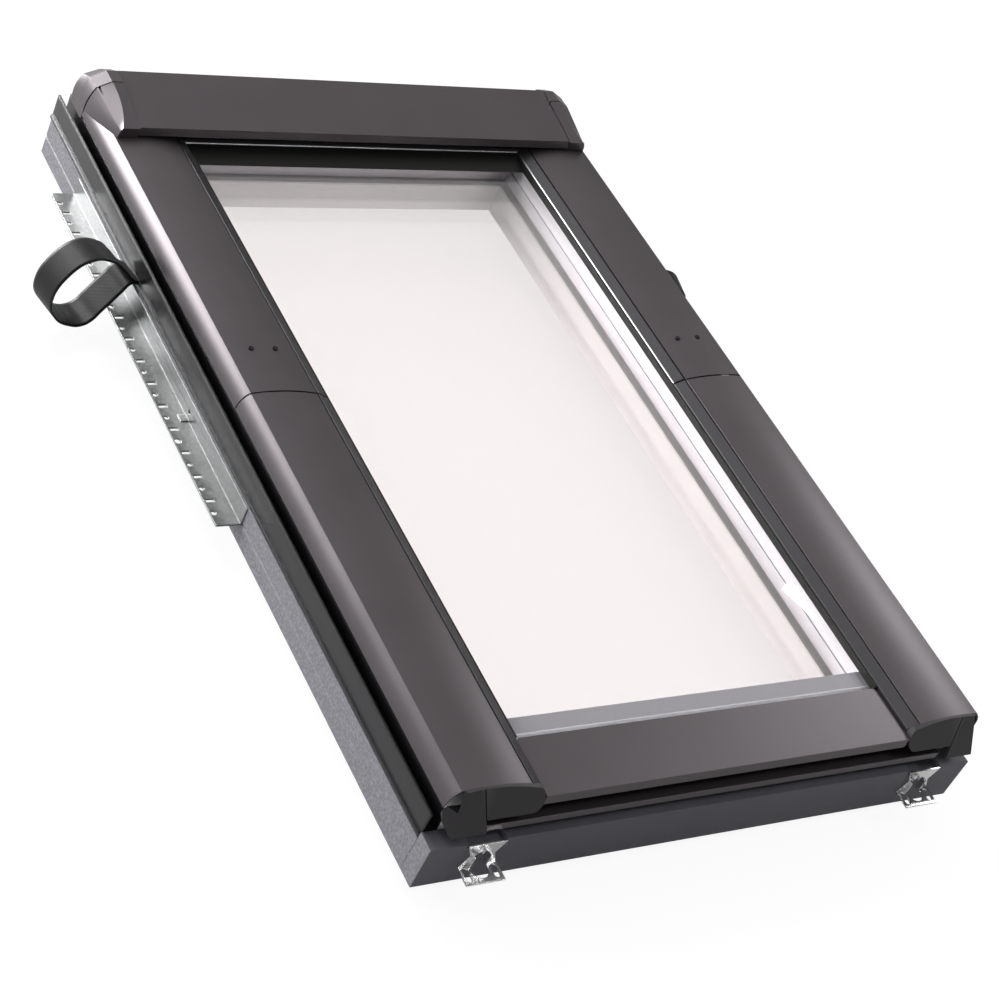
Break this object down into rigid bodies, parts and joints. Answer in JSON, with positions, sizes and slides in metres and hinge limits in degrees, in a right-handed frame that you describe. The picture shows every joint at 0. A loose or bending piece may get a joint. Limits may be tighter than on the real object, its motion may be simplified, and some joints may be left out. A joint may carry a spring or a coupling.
{
  "type": "roof window",
  "caption": "Centre-pivot roof window: timber frame and glazed sash under dark metal covers, with insulation collar, fixing angles, carrying straps and a room-side handle.",
  "frame": {"origin": "middle of the sill rail's underside", "axes": "+X across the window, +Y up the roof slope, +Z out of the roof"},
  "size_m": [1.0111, 1.26, 0.186],
  "materials": {
    "white_lacquered_timber": "white lacquer on timber",
    "glass": "clear float glass",
    "spacer_bar": "grey warm-edge bar",
    "rubber": "matt black",
    "coated_aluminium": "satin anthracite coating",
    "cap_plastic": "fine matt grain",
    "foam": "rough cut foam",
    "gutter_plastic": "glossy black",
    "galvanised_steel": "galvanised",
    "screw_steel": "dark coated",
    "satin_aluminium": "satin anodised",
    "webbing": "woven black webbing"
  },
  "bodies": {
    "frame": {"apron": "coated_aluminium", "bottom_bracket_left": "galvanised_steel", "bottom_bracket_right": "galvanised_steel", "carry_strap_left": "webbing", "carry_strap_right": "webbing", "collar_back": "foam", "collar_front": "foam", "collar_side_left": "foam", "collar_side_right": "foam", "cover_holders_left": "galvanised_steel", "cover_holders_right": "galvanised_steel", "cover_screws": "screw_steel", "fixing_angle_left": "galvanised_steel", "fixing_angle_right": "galvanised_steel", "frame_head": "white_lacquered_timber", "frame_seal": "rubber", "frame_side_left": "white_lacquered_timber", "frame_side_right": "white_lacquered_timber", "frame_sill": "white_lacquered_timber", "gutter_left": "gutter_plastic", "gutter_right": "gutter_plastic", "hood": "coated_aluminium", "hood_cap_left": "cap_plastic", "hood_cap_right": "cap_plastic", "keepers": "galvanised_steel", "pivot_housing_left": "galvanised_steel", "pivot_housing_right": "galvanised_steel", "rear_cap_left": "cap_plastic", "rear_cap_right": "cap_plastic", "upper_cover_left": "coated_aluminium", "upper_cover_right": "coated_aluminium"},
    "sash": {"sash_side_left": "white_lacquered_timber", "sash_side_right": "white_lacquered_timber", "sash_head": "white_lacquered_timber", "sash_bottom": "white_lacquered_timber", "inner_pane": "glass", "middle_pane": "glass", "outer_pane": "glass", "inner_spacer": "spacer_bar", "outer_spacer": "spacer_bar", "bed_gasket": "rubber", "outer_gasket": "rubber", "upper_strip_left": "coated_aluminium", "upper_strip_right": "coated_aluminium", "lower_strip_left": "coated_aluminium", "lower_strip_right": "coated_aluminium", "top_strip": "coated_aluminium", "bottom_cover": "coated_aluminium", "lower_cover_left": "coated_aluminium", "lower_cover_right": "coated_aluminium", "lower_cap_left": "cap_plastic", "lower_cap_right": "cap_plastic", "pivot_arm_left": "galvanised_steel", "pivot_arm_right": "galvanised_steel", "handle_rose": "satin_aluminium"},
    "handle": {"handle": "satin_aluminium"},
    "lock_bar": {"lock_bar": "galvanised_steel"}
  },
  "joints": [
    {"name": "sash_pivot", "type": "hinge", "parent": "frame", "child": "sash", "pos_m": [0, 0.573, 0.158], "axis": [-1, 0, 0], "range_deg": [0, 150]},
    {"name": "handle_turn", "type": "hinge", "parent": "sash", "child": "handle", "pos_m": [0, 0.05, 0.03], "axis": [0, 0, 1], "range_deg": [0, 90]},
    {"name": "lock_slide", "type": "slide", "parent": "sash", "child": "lock_bar", "axis": [1, 0, 0], "range_m": [0, 0.01885]}
  ],
  "couplings": [
    {"joint": "lock_slide", "follows": "handle_turn", "m_per_rad": 0.012}
  ]
}
